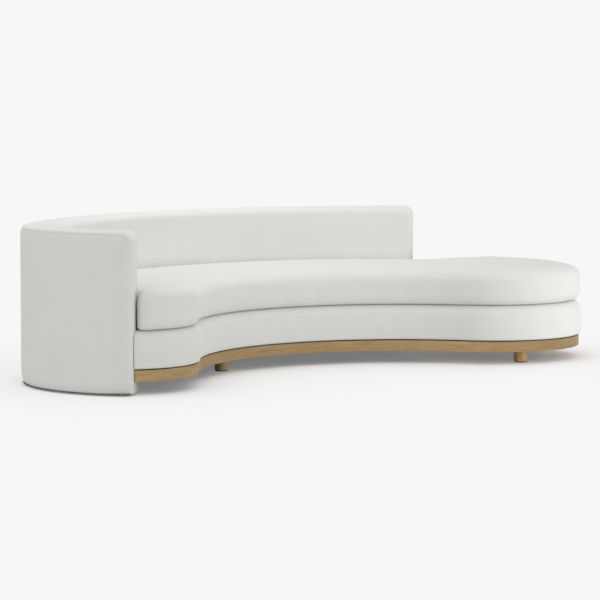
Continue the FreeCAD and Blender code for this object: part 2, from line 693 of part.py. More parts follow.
def build_cushion():
    gap = size("cushion_gap")
    ear = ear_radius(ARM_END)
    bullnose = ear - size("cushion_top_spare")
    solid = prism(seat_face(0, gap, ear), CUSHION_BOTTOM, CUSHION_EDGE_TOP)
    top = edges_between(solid, lambda e: e.BoundBox.ZMin > CUSHION_EDGE_TOP - AT_LEVEL)
    solid = solid.makeFillet(bullnose, top)
    bottom = edges_between(solid, lambda e: e.BoundBox.ZMax < CUSHION_BOTTOM + AT_LEVEL)
    solid = solid.makeFillet(ear - size("cushion_bottom_spare"), bottom)
    margin = bullnose + size("crown_margin")
    middle = (FRONT_R + BACK_R - WALL - gap) / 2
    half_bench = middle - FRONT_R - margin
    solid = solid.fuse([
        crown_ring(middle, half_bench),
        crown_cap(toward(ARM_ANGLE) * middle, half_bench),
        crown_cap(CHAISE_C, CHAISE_R - margin)])
    inset = size("core_inset")
    cover = size("core_cover")
    core = prism(seat_face(inset, gap, ear), CUSHION_BOTTOM + cover, CUSHION_EDGE_TOP - cover)
    room = prism(seat_face(inset - FIT, gap, ear), CUSHION_BOTTOM + cover - FIT, CUSHION_EDGE_TOP - cover + FIT)
    add_shape("seat_cushion", solid.cut(room))
    add_shape("cushion_core", core)


add_shape("shell_upholstery", build_shell_upholstery())
build_shell_frame()
build_shell_lining()
build_shell_glides()
build_plinth()
build_feet()
build_seat_frame()
build_webbing()
build_base_padding()
build_frame_bolts()
build_cushion()
doc.recompute()

# The frame's origin is on the floor under the middle of the sofa's box.
box = FreeCAD.BoundBox()
for node in NODES:
    box.add(node.Shape.optimalBoundingBox(False))
to_middle = FreeCAD.Placement(Vector(-box.Center.x, -box.Center.y, 0), FreeCAD.Rotation())
for node in NODES:
    node.Placement = to_middle.multiply(node.Placement)
doc.recompute()

for item in doc.Objects:
    if "Invalid" in item.State or "Error" in item.State:
        raise RuntimeError("failed: " + item.Label)
for node in NODES:
    if node.Shape.isNull() or not node.Shape.isValid():
        raise RuntimeError("bad shape: " + node.Label)

os.makedirs("parts", exist_ok=True)
for node in NODES:
    node.Shape.exportStep(os.path.join("parts", node.Label + ".step"))
print(len(NODES), "nodes", [round(length, 1) for length in (box.XLength, box.YLength, box.ZLength)])
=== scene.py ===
# %% [markdown]
# # A curved chaise sofa
#
# The imported CAD model gives every piece of the sofa its true place, in metres.
# This lesson dresses it: the padded skins, the loose cushion, the oak and the linings
# are new surfaces that stand where the plain CAD solids were.
# The box of the CAD model is kept.

import bmesh
import bpy
import numpy as np
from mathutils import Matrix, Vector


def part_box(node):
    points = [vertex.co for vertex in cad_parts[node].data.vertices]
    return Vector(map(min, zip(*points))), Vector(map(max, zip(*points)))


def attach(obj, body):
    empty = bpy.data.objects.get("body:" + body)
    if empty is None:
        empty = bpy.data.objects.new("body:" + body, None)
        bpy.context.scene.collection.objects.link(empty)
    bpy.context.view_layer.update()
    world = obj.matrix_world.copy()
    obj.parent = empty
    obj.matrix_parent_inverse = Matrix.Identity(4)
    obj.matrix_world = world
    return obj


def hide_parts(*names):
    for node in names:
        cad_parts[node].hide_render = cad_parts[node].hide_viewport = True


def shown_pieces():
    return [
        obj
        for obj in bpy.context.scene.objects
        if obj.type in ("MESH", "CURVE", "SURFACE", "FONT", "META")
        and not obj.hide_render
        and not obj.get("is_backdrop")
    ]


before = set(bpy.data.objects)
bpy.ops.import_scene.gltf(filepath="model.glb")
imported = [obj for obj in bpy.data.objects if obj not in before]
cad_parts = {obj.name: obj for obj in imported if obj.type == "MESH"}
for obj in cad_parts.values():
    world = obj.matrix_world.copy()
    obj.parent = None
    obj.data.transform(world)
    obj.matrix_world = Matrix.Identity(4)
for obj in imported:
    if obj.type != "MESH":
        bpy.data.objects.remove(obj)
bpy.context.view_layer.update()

# %% [markdown]
# ## The plan of the sofa
#
# Seen from above, the sofa is drawn with circles only. The back and the concave front share one centre.
# The arm, the small lobe beside it, the round chaise end and the little waist behind that end are arcs
# that run into each other without a corner. A freehand curve could trace the same line, but with arcs
# every layer of the seat keeps an even distance. Bearings are degrees clockwise from straight back.

# %% Circles and bearings
BACK_R, WALL, SEAT_DEPTH = 1.720, 0.190, 0.620
ARM_R, LOBE_R, CHAISE_R, WAIST_R = 0.580, 0.350, 0.436, 0.080
FRONT_R = BACK_R - WALL - SEAT_DEPTH
ARM_ANGLE, ARM_END, LOBE_ANGLE, CHAISE_ANGLE, BACK_END = -47.0, -139.137, -56.4, 54.3, 38.016
SEAT_GAP = 0.003


def toward(bearing):
    """Unit plan vectors: the sine and the cosine of the bearing, as x and y."""
    angle = np.radians(np.asarray(bearing, float))
    return np.stack([np.sin(angle), np.cos(angle)], -1)


def bearing_of(vector):
    """The bearing of a plan vector, in degrees."""
    return float(np.degrees(np.arctan2(vector[0], vector[1])))


CHAISE_REACH = (FRONT_R + CHAISE_R) * toward(CHAISE_ANGLE)
CENTRE = np.array([
    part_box("base_border")[1].x - CHAISE_R - CHAISE_REACH[0],
    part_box("shell_upholstery")[1].y - BACK_R,
])
ARM_C = CENTRE + (BACK_R - ARM_R) * toward(ARM_ANGLE)
LOBE_C = CENTRE + (FRONT_R + LOBE_R) * toward(LOBE_ANGLE)
CHAISE_C = CENTRE + CHAISE_REACH
END_OUT, END_FACE = toward(ARM_END), toward(ARM_END - 90)
print("plan centre", CENTRE.round(4))

# %% [markdown]
# ## The camera
#
# The picture was taken from a long way off with a long lens, a little above the seat.
# A lens of 174 mm on a 36 mm sensor gives that flat, calm view of a wide sofa.
# A wider lens from nearer by would make the arm look too large, so the distance is kept.

# %% Camera
LENS, SENSOR, NEAR, FAR = 174.0, 36.0, 0.1, 200.0
EYE_X, EYE_Y, EYE_Z = -7.6702, -10.0835, 1.4874
LOOK_BEARING, LOOK_DOWN = 35.12, 5.005
camera = bpy.data.objects.new("camera", bpy.data.cameras.new("camera"))
bpy.context.scene.collection.objects.link(camera)
camera.data.lens, camera.data.sensor_width = LENS, SENSOR
camera.data.clip_start, camera.data.clip_end = NEAR, FAR
camera.location = (CENTRE[0] + EYE_X, CENTRE[1] + EYE_Y, EYE_Z)
camera.rotation_euler = np.radians([90 - LOOK_DOWN, 0.0, -LOOK_BEARING])
bpy.context.scene.camera = camera
print("camera at", [round(x, 3) for x in camera.location])

# %% [markdown]
# ## Finishes
#
# Every finish is a small tree of shader nodes. One function adds a node and fills its sockets,
# and one function turns a colour that is written as it looks on a screen into a render's linear values.
# Pictures of cloth and wood could be laid on instead, but a tree needs no picture and no unwrapping.
# Pattern sizes are given in metres, so a 3 mm yarn is 3 mm on any piece.

# %% Helpers for finishes
def linear(code, alpha=1.0):
    """A screen colour such as E6E6E3 as linear red, green, blue, by the standard curve of screens."""
    screen = np.array([int(code[i:i + 2], 16) for i in (0, 2, 4)]) / 255
    light = np.where(screen <= 0.04045, screen / 12.92, ((screen + 0.055) / 1.055) ** 2.4)
    return (*light.tolist(), alpha)


def add(tree, kind, values=None, **settings):
    """Adds a node. Values go to its sockets by name or place: a socket is linked and a number is set."""
    made = tree.nodes.new(kind)
    for name, setting in settings.items():
        setattr(made, name, setting)
    for place, value in (values or {}).items():
        if isinstance(value, bpy.types.NodeSocket):
            tree.links.new(value, made.inputs[place])
        else:
            made.inputs[place].default_value = value
    return made


def finish_tree(name):
    """A new material with an empty tree, its output and one shader."""
    made = bpy.data.materials.new(name)
    made.use_nodes = True
    made.node_tree.nodes.clear()
    shader = add(made.node_tree, "ShaderNodeBsdfPrincipled")
    add(made.node_tree, "ShaderNodeOutputMaterial", {"Surface": shader.outputs["BSDF"]})
    return made, made.node_tree, shader


def coat(tree, shader, tone, bump, rough):
    """Links a colour and a relief to the shader and sets its roughness."""
    tree.links.new(tone.outputs[2], shader.inputs["Base Color"])
    tree.links.new(bump.outputs["Normal"], shader.inputs["Normal"])
    shader.inputs["Roughness"].default_value = rough


print("middle grey is", round(linear("808080")[0], 3), "in linear light")

# %% [markdown]
# ### Cloth
#
# The sofa wears a heavy off-white cloth of thick soft yarn, nearly plain from a distance.
# Close up, the yarn makes small rounded bumps. Cells of about 3 mm stand for them, with a slow change
# of tone over a hand's width, as cloth has from its weaving. It is rough and hardly shines.
# Every thread could be modelled, but at the size of a sofa a relief on smooth skin looks the same.
# The deck cloth under the cushion and the black linings are the same kind of tree with other numbers.

# %% Cloth finishes
HAND, SLUB_YARNS, YARN_ORDER, YARN_RELIEF = 1 / 9, 4, 0.8, 0.35
CLOTH_FROM, CLOTH_TO, CLOTH_GLOSS = 0.12, 0.42, 0.2


def cloth(name, light, dark, yarn, depth, rough):
    """Yarn bumps of one size, with a slow change between two tones."""
    made, tree, shader = finish_tree(name)
    place = add(tree, "ShaderNodeTexCoord").outputs["Object"]
    bumps = {"Vector": place, "Scale": 1 / yarn, "Randomness": YARN_ORDER}
    cells = add(tree, "ShaderNodeTexVoronoi", bumps)
    thick = {"Vector": place, "Scale": 1 / (SLUB_YARNS * yarn), "Detail": 3.0}
    slub = add(tree, "ShaderNodeTexNoise", thick)
    slow = add(tree, "ShaderNodeTexNoise", {"Vector": place, "Scale": 1 / HAND, "Detail": 2.0})
    both = {0: slub.outputs["Fac"], 1: slow.outputs["Fac"]}
    tone = add(tree, "ShaderNodeMath", both, operation="MULTIPLY")
    spread = add(tree, "ShaderNodeMapRange", {0: tone.outputs[0], 1: CLOTH_FROM, 2: CLOTH_TO})
    tones = {0: spread.outputs[0], 6: linear(dark), 7: linear(light)}
    tone = add(tree, "ShaderNodeMix", tones, data_type="RGBA")
    relief = {"Strength": YARN_RELIEF, "Distance": depth, "Height": cells.outputs["Distance"]}
    bump = add(tree, "ShaderNodeBump", relief, invert=True)
    coat(tree, shader, tone, bump, rough)
    shader.inputs["Specular IOR Level"].default_value = CLOTH_GLOSS
    return made


FINISH = {
    # A soft thick yarn, nearly white, that looks matt and even from across a room.
    "upholstery_fabric": cloth("off_white_wool_cloth", "E0E0DD", "DDDDDA", 0.003, 0.0010, 0.95),
    # A plain finer weave, a little greyer, where the cushion hides it.
    "deck_cloth": cloth("cotton_deck_cloth", "DCDAD2", "D0CEC5", 0.0015, 0.0004, 0.9),
    # A thin felted sheet that keeps the underside dark.
    "black_lining": cloth("black_spun_lining", "1B1B1C", "131314", 0.001, 0.0002, 0.85),
    # Ribbed straps of rubber and jute in a dull brown grey.
    "webbing": cloth("elastic_webbing", "4A4640", "37342F", 0.003, 0.0006, 0.8),
    # Open cells in a warm cream.
    "foam": cloth("seat_foam", "EFE3BE", "E5D7AC", 0.0015, 0.0006, 0.95),
}
print("cloth finishes", len(FINISH))

# %% [markdown]
# ### Oak, plywood, plastic and steel
#
# The band under the seat is bent oak with its grain along the curve. The band carries its own length
# and height as an attribute called grain, so the long streaks follow the bend.
# The feet are turned from upright pieces, so their streaks run up. Streaks are noise that is stretched
# a great deal along the fibre, with a finer one for the pores. Rings of growth could be cut through
# a whole trunk, but on a band of 50 mm only such streaks show. Oak streaks are about 6 mm wide.

# %% Wood, plastic and metal finishes
IN_SPACE = ("ShaderNodeTexCoord", "Object", {})
ALONG_GRAIN = ("ShaderNodeAttribute", "Vector", {"attribute_name": "grain"})
STREAK_BEND, PORES, WOOD_FROM, WOOD_TO, WOOD_IOR = 0.6, 6.0, 0.75, 1.25, 1.5
PORE_DEEP, PORE_RELIEF, SKIN_DEEP, SKIN_RELIEF = 0.0003, 0.3, 0.0002, 0.2


def wood(name, light, dark, source, streaks, rough):
    """Streaks between two tones, so many per metre along each axis, and pores that are finer still."""
    made, tree, shader = finish_tree(name)
    kind, socket, settings = source
    place = add(tree, kind, **settings).outputs[socket]
    flow = add(tree, "ShaderNodeMapping", {"Vector": place, "Scale": streaks}).outputs[0]
    waves = {"Vector": flow, "Scale": 1.0, "Detail": 5.0, "Distortion": STREAK_BEND}
    streak = add(tree, "ShaderNodeTexNoise", waves)
    pore = add(tree, "ShaderNodeTexNoise", {"Vector": flow, "Scale": PORES, "Detail": 2.0})
    both = {0: streak.outputs["Fac"], 1: pore.outputs["Fac"]}
    tone = add(tree, "ShaderNodeMath", both, operation="ADD")
    spread = add(tree, "ShaderNodeMapRange", {0: tone.outputs[0], 1: WOOD_FROM, 2: WOOD_TO})
    tones = {0: spread.outputs[0], 6: linear(dark), 7: linear(light)}
    tone = add(tree, "ShaderNodeMix", tones, data_type="RGBA")
    relief = {"Height": pore.outputs["Fac"], "Distance": PORE_DEEP, "Strength": PORE_RELIEF}
    coat(tree, shader, tone, add(tree, "ShaderNodeBump", relief), rough)
    shader.inputs["IOR"].default_value = WOOD_IOR
    return made


def smooth(name, light, dark, grain, rough, metal):
    """A hard moulded or plated skin: two close tones and a very fine relief."""
    made, tree, shader = finish_tree(name)
    place = add(tree, "ShaderNodeTexCoord").outputs["Object"]
    fine = {"Vector": place, "Scale": 1 / grain, "Detail": 2.0}
    speck = add(tree, "ShaderNodeTexNoise", fine).outputs["Fac"]
    tones = {0: speck, 6: linear(dark), 7: linear(light)}
    tone = add(tree, "ShaderNodeMix", tones, data_type="RGBA")
    relief = {"Height": speck, "Distance": SKIN_DEEP, "Strength": SKIN_RELIEF}
    coat(tree, shader, tone, add(tree, "ShaderNodeBump", relief), rough)
    shader.inputs["Metallic"].default_value = metal
    return made


# Golden brown under a thin matt oil, with the streaks upright on a turned foot.
FINISH["oak"] = wood("oak_turned", "C2A474", "A28454", IN_SPACE, (160.0, 160.0, 9.0), 0.5)
# The same oak, with the streaks along the bend.
OAK_BENT = wood("oak_bent", "C2A474", "A28454", ALONG_GRAIN, (7.0, 150.0, 150.0), 0.5)
# Pale layers that show as thin lines at the edges of a board.
FINISH["plywood"] = wood("birch_plywood", "D8C39A", "C6AD80", IN_SPACE, (14.0, 14.0, 220.0), 0.6)
# Nearly black with a dull gleam.
FINISH["black_plastic"] = smooth("black_glide_plastic", "1C1C1E", "121214", 0.0012, 0.5, 0.0)
# A bright grey metal with a slightly cloudy coat.
FINISH["zinc_steel"] = smooth("zinc_plated_steel", "C2C5C8", "A8ABB0", 0.004, 0.35, 1.0)

for name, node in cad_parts.items():
    for place, old in enumerate(node.data.materials):
        key = next((k for k in FINISH if old is not None and k in old.name), None)
        if key:
            node.data.materials[place] = FINISH[key]
        else:
            print("no finish for", name, old.name if old else None)
print("finishes", len(FINISH) + 1)

# %% [markdown]
# ## One function for every surface
#
# A new piece is made of grids: whole arrays of points, one row after another.
# Points of two grids that fall together are joined, so a skin made of several grids closes,
# and the faces are then turned outward. A flat end is one many-sided face.
# Modelling by hand could give the same skins, but a formula keeps them true to the plan.

# %% Grids into pieces
MERGE, CREASE = 1e-5, 40.0


def quads(rows, columns, first):
    """The four corner numbers of every square of a grid."""
    index = first + np.arange(rows * columns).reshape(rows, columns)
    return np.stack([index[:-1, :-1], index[:-1, 1:], index[1:, 1:], index[1:, :-1]], -1).reshape(-1, 4)


def piece(name, grids, caps=(), grain=None, crease=CREASE):
    """One object of whole grids and flat end faces, closed along shared edges, with faces outward."""
    points, faces, first = [], [], 0
    for grid in grids:
        points.append(grid.reshape(-1, 3))
        faces += quads(grid.shape[0], grid.shape[1], first).tolist()
        first += grid.shape[0] * grid.shape[1]
    for cap in caps:
        points.append(cap)
        faces.append(list(range(first, first + len(cap))))
        first += len(cap)
    points = np.concatenate(points)
    mesh = bpy.data.meshes.new(name)
    mesh.from_pydata(points.tolist(), [], faces)
    if grain is not None:
        spare = np.zeros((len(points) - len(grain), 3))
        layer = mesh.attributes.new("grain", "FLOAT_VECTOR", "POINT")
        layer.data.foreach_set("vector", np.concatenate([grain, spare]).astype(np.float32).ravel())
    work = bmesh.new()
    work.from_mesh(mesh)
    bmesh.ops.remove_doubles(work, verts=work.verts, dist=MERGE)
    bmesh.ops.recalc_face_normals(work, faces=work.faces)
    loose = sum(not edge.is_manifold for edge in work.edges)
    work.to_mesh(mesh)
    work.free()
    mesh.polygons.foreach_set("use_smooth", np.ones(len(mesh.polygons), bool))
    mesh.set_sharp_from_angle(angle=np.radians(crease))
    made = bpy.data.objects.new(name, mesh)
    bpy.context.scene.collection.objects.link(made)
    print(name, len(mesh.vertices), "points,", loose, "open edges")
    return made


def closed(rings):
    """Rings of points with the first point of each added at its end."""
    return np.concatenate([rings, rings[:, :1]], 1)


def ring_piece(name, rings, grain=None):
    """A piece of closed rings, one after another, with a flat face at both ends."""
    return piece(name, [closed(rings)], [rings[0], rings[-1]], grain=grain)


def dress(made, finish, body, slot, *nodes):
    """Gives a piece its finish and the body that it rides on, and hides the solids that it stands for. The
    slot is not used.
    """
    made.data.materials.append(finish)
    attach(made, body)
    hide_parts(*nodes)
    return made


def raised(plan, height):
    """Plan points lifted to a height."""
    height = np.broadcast_to(np.asarray(height, float), plan.shape[:-1])
    return np.concatenate([plan, height[..., None]], -1)


# %% [markdown]
# ## The padded wall
#
# One upholstered wall makes the arm and the back and stands on the floor. Its outer panel is sewn
# to a boxing strip that runs up the free end of the back, along the top and down the front edge of the arm.
# Padding swells both sides of that seam, so the panel rolls in to the seam and the strip rises
# out of it again. A bevelled block would have no such seam. Here the outer and the inner face
# are height maps over the unrolled wall, with rows of points that crowd at the edges.

# %% Wall: sizes and rows
LOW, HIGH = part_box("shell_upholstery")[0].z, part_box("shell_upholstery")[1].z
TALL = HIGH - LOW
CORNER, SEAM, SEAM_IN, ROLL, STRIP_ROLL = 0.040, 0.012, 0.007, 0.050, 0.012
NOTCH, NOTCH_WIDE = 0.0028, 0.0036
FLOOR_IN, FLOOR_ROLL, INNER_ROLL = 0.015, 0.060, 0.028
MID_BACK, MID_ARM = BACK_R - WALL / 2, ARM_R - WALL / 2
BACK_RUN = np.radians(BACK_END - ARM_ANGLE) * MID_BACK
WALL_RUN = BACK_RUN + np.radians(ARM_ANGLE - ARM_END) * MID_ARM
ROLL_ROWS, SEAM_ROWS, FLOOR_ROWS, FACE_ROWS = 11, 9, 9, 32
SEAM_SPAN, PANEL_SPAN, PANEL_CROWD, WALL_STEP = 1.6, 1.2, 1.4, 0.014
quarter = np.radians(np.linspace(0, 90, ROLL_ROWS))
on_strip = STRIP_ROLL * (1 - np.cos(quarter))
on_inner = INNER_ROLL * (1 - np.cos(quarter))
on_seam = SEAM + NOTCH_WIDE * np.linspace(-SEAM_SPAN, SEAM_SPAN, SEAM_ROWS)
on_panel = SEAM + 2 * NOTCH_WIDE + ROLL * np.linspace(0, PANEL_SPAN, ROLL_ROWS) ** PANEL_CROWD
NEAR_EDGE = np.unique(np.concatenate([on_strip, on_inner, on_seam, on_panel]).round(4))
NEAR_FLOOR = FLOOR_ROLL * np.linspace(1, 0, FLOOR_ROWS) ** 2
print("wall length", round(float(WALL_RUN), 3), "rows near an edge", len(NEAR_EDGE))

# %% [markdown]
# ### The unrolled faces
#
# How far a point is set in follows from its distance to the edge of the panel: a roll, a narrow notch for
# the seam and fine puckers that fade away from it. At the floor the panel turns in further than the black
# lining beneath it, so a strip of that real lining shows as a dark line along the floor, which also stands
# as painted shade for the shaded gap under the wall.
# At the end of the arm the seam sits further in, and the strip rolls round a larger edge.
# The same could be sculpted, but with a distance the seam stays even all the way round.

# %% Wall: the unrolled faces
PUCKER, PUCKER_RUN, PUCKER_FADE, PUCKER_SWAY, PUCKER_BENDS = 0.0005, 0.036, 0.022, 2, 5
END_SEAM, END_BLEND, TINY = 0.040, 0.100, 1e-12


def wall_bearing(run):
    """The bearing of a place along the wall, from the free end of the back to the end of the arm."""
    on_back = BACK_END - np.degrees(run / MID_BACK)
    return np.where(run > BACK_RUN, ARM_ANGLE - np.degrees((run - BACK_RUN) / MID_ARM), on_back)


def wall_plan(run, across):
    """Plan points of the wall: a place along its middle line, set in from the outer face."""
    run, across = np.broadcast_arrays(np.asarray(run, float), np.asarray(across, float))
    on_arm = run > BACK_RUN
    radius = np.where(on_arm, ARM_R, BACK_R) - across
    return np.where(on_arm[..., None], ARM_C, CENTRE) + radius[..., None] * toward(wall_bearing(run))


def rolled(share):
    """A quarter of an ellipse: 1 at share 0 with a steep start, 0 from share 1 on."""
    return 1 - np.sqrt(1 - (1 - np.clip(share, 0, 1)) ** 2)


middle = np.arange(NEAR_EDGE[-1], WALL_RUN - NEAR_EDGE[-1], WALL_STEP)[1:]
run = np.concatenate([NEAR_EDGE, middle, WALL_RUN - NEAR_EDGE[::-1]])
on_face = np.linspace(NEAR_EDGE[-1], TALL - NEAR_FLOOR[0], FACE_ROWS)[1:-1]
from_top = np.concatenate([NEAR_EDGE, on_face])
share = np.concatenate([1 - from_top / TALL, NEAR_FLOOR / TALL])
to_end = np.minimum(run, WALL_RUN - run)
drop = CORNER - np.sqrt(CORNER ** 2 - np.maximum(CORNER - to_end, 0) ** 2)
height = LOW + share[:, None] * (HIGH - drop - LOW)
beside, below = CORNER - to_end[None, :], CORNER - (HIGH - height)
in_corner = (beside > 0) & (below > 0)
edge = np.where(in_corner, CORNER - np.hypot(beside, below), np.minimum(to_end, HIGH - height))
edge = np.maximum(edge, 0)
inner_in = INNER_ROLL * rolled(edge / INNER_ROLL)
beside_end = np.clip(END_BLEND - (WALL_RUN - run), 0, None)[None, :]
below_top = np.clip(END_BLEND - (HIGH - height), 0, None)
at_end = beside_end ** 2 / np.maximum(beside_end ** 2 + below_top ** 2, TINY)
edge = edge * (1 - at_end * (1 - SEAM / END_SEAM))
strip_deep = STRIP_ROLL * (1 + at_end * (END_SEAM / SEAM - 1))
outer_in = SEAM_IN * rolled((edge - SEAM) / ROLL) + strip_deep * rolled(edge / STRIP_ROLL)
outer_in = outer_in + NOTCH * np.exp(-(((edge - SEAM) / NOTCH_WIDE) ** 2))
# The hem turns in further than the lining's inset, so the black lining shows below it as a dark line: a real
# lining, left showing as painted shade along the floor.
outer_in = outer_in + FLOOR_IN * rolled((height - LOW) / FLOOR_ROLL)
sway = PUCKER_SWAY * np.sin(PUCKER_BENDS * (run - height))
ripple = np.sin(2 * np.pi * (run + height) / PUCKER_RUN + sway)
outer_in = outer_in + PUCKER * ripple * np.exp(-np.abs(edge - SEAM) / PUCKER_FADE) * (edge > 0)
outer_face = raised(wall_plan(run, outer_in), height)
inner_face = raised(wall_plan(run, WALL - inner_in), height)
print("wall grid", height.shape)

# %% [markdown]
# ### The boxing strip, the hem and the hollow
#
# The rim of both faces has the same number of points, so the strip is a straight bridge with a slight crown.
# Under the wall the cloth turns in as a hem to the plywood frame, and the skin closes round that frame.
# A closed skin without that hollow would be simpler, but the frame would then stand in solid padding.

# %% Wall: strip, hem and hollow
STRIP_ROWS, STRIP_CROWN, SOFT_CREASE, CLEAR = 15, 0.002, 70.0, 0.0002
PAD_OUT, PAD_IN, PAD_END = 0.0198, 0.0448, 0.0358


def rim(grid):
    """The edge of a face, up the first side, along the top and down the other side."""
    return np.concatenate([grid[::-1, 0], grid[0, 1:-1], grid[:, -1]])


side_sign = np.where(run < WALL_RUN / 2, -1.0, 1.0)
lean = np.clip(beside, 0, None) / CORNER * side_sign
tangent = raised(toward(wall_bearing(run) - 90), 0.0)
lean_grid = np.broadcast_to(lean, height.shape)
rise_grid = np.sqrt(np.clip(1 - lean_grid ** 2, 0, 1))
outward = lean_grid[..., None] * tangent[None] + rise_grid[..., None] * np.array([0, 0, 1.0])
across = np.linspace(0, 1, STRIP_ROWS)[:, None, None]
strip = (1 - across) * rim(outer_face) + across * rim(inner_face)
strip = strip + STRIP_CROWN * 4 * across * (1 - across) * rim(outward)
hollow_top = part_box("shell_top_rail")[1].z + CLEAR
inside_run = PAD_END + run * (WALL_RUN - 2 * PAD_END) / WALL_RUN
hollow_out, hollow_in = wall_plan(inside_run, PAD_OUT), wall_plan(inside_run, WALL - PAD_IN)
bridge = (1 - across) * hollow_out[None] + across * hollow_in[None]
roof, ground = raised(bridge, hollow_top), raised(bridge, LOW)
wall_skin = piece("wall_skin", [
    outer_face, inner_face, strip, roof,
    np.stack([ground[0], roof[0]]), np.stack([ground[-1], roof[-1]]),
    np.stack([ground[:, 0], roof[:, 0]]), np.stack([ground[:, -1], roof[:, -1]]),
    np.stack([outer_face[-1], ground[0]]), np.stack([inner_face[-1], ground[-1]]),
    np.stack([strip[:, 0], ground[:, 0]]), np.stack([strip[:, -1], ground[:, -1]]),
], crease=SOFT_CREASE)
dress(wall_skin, FINISH["upholstery_fabric"], "sofa", "upholstery_fabric", "shell_upholstery")

# %% [markdown]
# ## The seat's front line
#
# The padded border, the oak band and the deck all follow the same line: the lobe, the concave front,
# the chaise end and the waist. A bevelled curve could carry their sections, but it squeezes them in a bend.
# Here a point is set in from the line by going along the spoke of its arc, so every piece keeps
# an even distance. At its left end the line stops at the flat end of the arm.

# %% The front line
WAIST_TURN = 36.892
WAIST_C = CENTRE + (BACK_R - WALL - SEAT_GAP + WAIST_R) * toward(WAIST_TURN)
STEP = 0.012


def arm_cut(radius):
    """The bearing where a circle about the lobe's centre meets the end of the arm, with the seat gap."""
    start = (SEAT_GAP - (LOBE_C - ARM_C) @ END_FACE) / radius
    return ARM_END - 90 + np.degrees(np.arccos(start))


def front_line(inset):
    """Plan points, one row for each place along the line and one column for each inset."""
    inset = np.asarray(inset, float)
    chaise_end = bearing_of(WAIST_C - CHAISE_C)
    waist_start = bearing_of(CHAISE_C - WAIST_C)
    waist_stop = waist_start + (WAIST_TURN + 180 - waist_start) % 360
    chaise_stop = CHAISE_ANGLE + 180 - (CHAISE_ANGLE + 180 - chaise_end) % 360
    arcs = [
        (LOBE_C, LOBE_R - inset, arm_cut(LOBE_R - inset), LOBE_ANGLE - 180, LOBE_R),
        (CENTRE, FRONT_R + inset, LOBE_ANGLE, CHAISE_ANGLE, FRONT_R),
        (CHAISE_C, CHAISE_R - inset, CHAISE_ANGLE + 180, chaise_stop, CHAISE_R),
        (WAIST_C, WAIST_R + inset, waist_start, waist_stop, WAIST_R),
    ]
    rows = []
    for centre, radius, start, stop, size in arcs:
        count = int(np.ceil(np.radians(np.max(np.abs(stop - start))) * size / STEP)) + 2
        along = np.linspace(0, 1, count)[:, None]
        bearing = start + (stop - start) * along
        spoke = np.broadcast_to(radius, inset.shape)[None, :, None]
        rows.append(centre + spoke * toward(bearing * np.ones_like(inset)))
    return np.concatenate([row[:-1] for row in rows[:-1]] + [rows[-1]])


def swept(section):
    """A section of insets and heights carried along the front line, one ring for each place."""
    return raised(front_line(section[:, 0]), section[:, 1])


def round_corner(centre, radius, start, stop, count):
    """Part of a circle in the section, as insets and heights."""
    angle = np.radians(np.linspace(start, stop, count))
    return np.array(centre) + radius * np.stack([np.cos(angle), np.sin(angle)], -1)


print("front line has", len(front_line([0.0])), "places")

# %% [markdown]
# ## The padded border of the seat base
#
# Foam and cloth are wrapped over the bent rim of the base. The upper edge is a large soft roll,
# the face swells a little, and the cloth is pulled under at the bottom. It is tightly fixed,
# so a section that is carried along the line gives its form without a simulation.

# %% Border
BORDER_LOW, BORDER_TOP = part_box("base_border")[0].z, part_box("base_border")[1].z
BORDER_PAD, FLANGE, TOP_ROLL, FOOT_ROLL, SWELL = 0.020, 0.060, 0.050, 0.010, 0.002
FLANGE_ROWS, TOP_ROWS, SIDE_ROWS, FOOT_ROWS = 5, 12, 14, 7
FLANGE_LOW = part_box("seat_webbing")[1].z + CLEAR
face_z = np.linspace(BORDER_TOP - TOP_ROLL, BORDER_LOW + FOOT_ROLL, SIDE_ROWS)[1:-1]
bulge = SWELL * np.sin(np.pi * (face_z - face_z[-1]) / (face_z[0] - face_z[-1]))
flange_in = np.linspace(FLANGE, TOP_ROLL, FLANGE_ROWS)[:-1]
border_section = np.concatenate([
    np.stack([flange_in, np.full_like(flange_in, BORDER_TOP)], -1),
    round_corner((TOP_ROLL, BORDER_TOP - TOP_ROLL), TOP_ROLL, 90, 180, TOP_ROWS),
    np.stack([-bulge, face_z], -1),
    round_corner((FOOT_ROLL, BORDER_LOW + FOOT_ROLL), FOOT_ROLL, 180, 270, FOOT_ROWS),
    [[BORDER_PAD, BORDER_LOW], [BORDER_PAD, FLANGE_LOW], [FLANGE, FLANGE_LOW]],
])
seat_border = ring_piece("seat_border", swept(border_section))
dress(seat_border, FINISH["upholstery_fabric"], "sofa", "upholstery_fabric", "base_border")

# %% [markdown]
# ## The oak band
#
# The band is bent from oak and set back a little under the border. Its edges are eased.
# A straight board could be bent with a modifier, but it would not follow the arcs of the border exactly.
# Swept along the same line, the band also knows its length and the way round its section,
# which the oak finish reads for the grain.

# %% Oak band
BAND_LOW, BAND_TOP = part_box("plinth_band")[0].z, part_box("plinth_band")[1].z
BAND_IN, BAND_THICK, EASE, EASE_ROWS = 0.008, 0.018, 0.0015, 4
BAND_BACK = BAND_IN + BAND_THICK
band_section = np.concatenate([
    round_corner((BAND_BACK - EASE, BAND_TOP - EASE), EASE, 0, 90, EASE_ROWS),
    round_corner((BAND_IN + EASE, BAND_TOP - EASE), EASE, 90, 180, EASE_ROWS),
    round_corner((BAND_IN + EASE, BAND_LOW + EASE), EASE, 180, 270, EASE_ROWS),
    round_corner((BAND_BACK - EASE, BAND_LOW + EASE), EASE, 270, 360, EASE_ROWS),
])
band_rings = swept(band_section)
band_rows = closed(band_rings)
steps = np.linalg.norm(np.diff(band_rows[:, 0], axis=0), axis=-1)
length = np.concatenate([[0], np.cumsum(steps)])
turns = np.linalg.norm(np.diff(band_rows[0], axis=0), axis=-1)
girth = np.concatenate([[0], np.cumsum(turns)])
